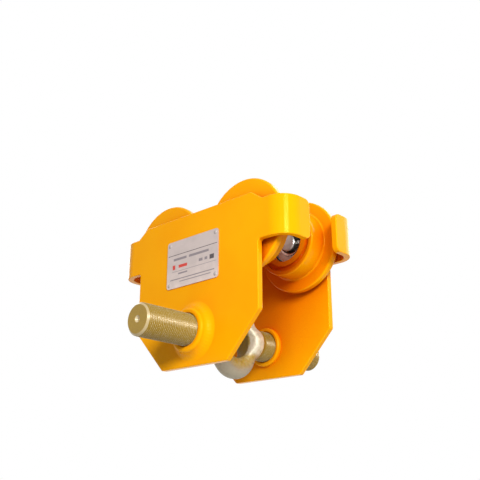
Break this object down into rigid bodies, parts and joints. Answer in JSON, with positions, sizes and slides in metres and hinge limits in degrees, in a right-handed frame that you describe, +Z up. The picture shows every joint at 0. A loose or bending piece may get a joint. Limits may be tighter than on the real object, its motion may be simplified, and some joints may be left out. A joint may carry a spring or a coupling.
{
  "type": "beam trolley",
  "caption": "Push-type beam trolley: bent side plates with flanged wheels run on a beam's lower flange, and a screwed load bar with a central eye sets the width and carries a hoist.",
  "frame": {"origin": "centre of the load eye, on the axis of the load bar, midway between the side plates", "axes": "+X along the beam, +Y along the load bar from the front plate to the rear plate, +Z up"},
  "size_m": [0.2252, 0.242, 0.1778],
  "materials": {
    "yellow_paint": "gloss",
    "gold_zinc": "yellow passivated zinc",
    "bright_zinc": "bright zinc on a forging",
    "bearing_steel": "ground",
    "shield_steel": "pressed sheet",
    "spring_steel": "blackened",
    "nameplate_aluminium": "satin"
  },
  "bodies": {
    "front_carriage": {"front_side_plate": "yellow_paint", "front_weld_ring": "yellow_paint", "nameplate": "nameplate_aluminium", "nameplate_rivets": "nameplate_aluminium", "front_left_axle": "bearing_steel", "front_left_bearing_inner_ring": "bearing_steel", "front_left_axle_clip": "spring_steel", "front_right_axle": "bearing_steel", "front_right_bearing_inner_ring": "bearing_steel", "front_right_axle_clip": "spring_steel"},
    "front_bush": {"front_bush": "yellow_paint"},
    "load_bar": {"load_eye": "bright_zinc", "front_screw": "gold_zinc", "rear_screw": "gold_zinc"},
    "rear_carriage": {"rear_side_plate": "yellow_paint", "rear_bush": "yellow_paint", "rear_weld_ring": "yellow_paint", "rear_left_axle": "bearing_steel", "rear_left_bearing_inner_ring": "bearing_steel", "rear_left_axle_clip": "spring_steel", "rear_right_axle": "bearing_steel", "rear_right_bearing_inner_ring": "bearing_steel", "rear_right_axle_clip": "spring_steel"},
    "front_left_wheel": {"front_left_wheel": "yellow_paint", "front_left_bearing_outer_ring": "bearing_steel", "front_left_bearing_shields": "shield_steel", "front_left_bore_clip": "spring_steel"},
    "front_left_balls": {"front_left_ball_cage": "bearing_steel"},
    "front_right_wheel": {"front_right_wheel": "yellow_paint", "front_right_bearing_outer_ring": "bearing_steel", "front_right_bearing_shields": "shield_steel", "front_right_bore_clip": "spring_steel"},
    "front_right_balls": {"front_right_ball_cage": "bearing_steel"},
    "rear_left_wheel": {"rear_left_wheel": "yellow_paint", "rear_left_bearing_outer_ring": "bearing_steel", "rear_left_bearing_shields": "shield_steel", "rear_left_bore_clip": "spring_steel"},
    "rear_left_balls": {"rear_left_ball_cage": "bearing_steel"},
    "rear_right_wheel": {"rear_right_wheel": "yellow_paint", "rear_right_bearing_outer_ring": "bearing_steel", "rear_right_bearing_shields": "shield_steel", "rear_right_bore_clip": "spring_steel"},
    "rear_right_balls": {"rear_right_ball_cage": "bearing_steel"}
  },
  "joints": [
    {"name": "screw_turn", "type": "hinge", "parent": "front_carriage", "child": "front_bush", "pos_m": [0, 0, 0], "axis": [0, 1, 0], "range_deg": [-1441, 7921]},
    {"name": "bar_travel", "type": "slide", "parent": "front_bush", "child": "load_bar", "axis": [0, 1, 0], "range_m": [-0.00801, 0.04401]},
    {"name": "plate_spread", "type": "slide", "parent": "front_carriage", "child": "rear_carriage", "axis": [0, 1, 0], "range_m": [-0.016, 0.088]},
    {"name": "front_left_wheel_spin", "type": "hinge", "parent": "front_carriage", "child": "front_left_wheel", "pos_m": [-0.0525, -0.0315, 0.0935], "axis": [0, 1, 0], "continuous": true},
    {"name": "front_left_ball_orbit", "type": "hinge", "parent": "front_carriage", "child": "front_left_balls", "pos_m": [-0.0525, -0.0315, 0.0935], "axis": [0, 1, 0], "continuous": true},
    {"name": "front_right_wheel_spin", "type": "hinge", "parent": "front_carriage", "child": "front_right_wheel", "pos_m": [0.0525, -0.0315, 0.0935], "axis": [0, 1, 0], "continuous": true},
    {"name": "front_right_ball_orbit", "type": "hinge", "parent": "front_carriage", "child": "front_right_balls", "pos_m": [0.0525, -0.0315, 0.0935], "axis": [0, 1, 0], "continuous": true},
    {"name": "rear_left_wheel_spin", "type": "hinge", "parent": "rear_carriage", "child": "rear_left_wheel", "pos_m": [-0.0525, 0.0315, 0.0935], "axis": [0, 1, 0], "continuous": true},
    {"name": "rear_left_ball_orbit", "type": "hinge", "parent": "rear_carriage", "child": "rear_left_balls", "pos_m": [-0.0525, 0.0315, 0.0935], "axis": [0, 1, 0], "continuous": true},
    {"name": "rear_right_wheel_spin", "type": "hinge", "parent": "rear_carriage", "child": "rear_right_wheel", "pos_m": [0.0525, 0.0315, 0.0935], "axis": [0, 1, 0], "continuous": true},
    {"name": "rear_right_ball_orbit", "type": "hinge", "parent": "rear_carriage", "child": "rear_right_balls", "pos_m": [0.0525, 0.0315, 0.0935], "axis": [0, 1, 0], "continuous": true}
  ],
  "couplings": [
    {"joint": "bar_travel", "follows": "plate_spread", "ratio": 0.5},
    {"joint": "screw_turn", "follows": "plate_spread", "rad_per_m": 1570.8},
    {"joint": "front_left_ball_orbit", "follows": "front_left_wheel_spin", "ratio": 0.61713},
    {"joint": "front_right_ball_orbit", "follows": "front_right_wheel_spin", "ratio": 0.61713},
    {"joint": "rear_left_ball_orbit", "follows": "rear_left_wheel_spin", "ratio": 0.61713},
    {"joint": "rear_right_ball_orbit", "follows": "rear_right_wheel_spin", "ratio": 0.61713}
  ]
}
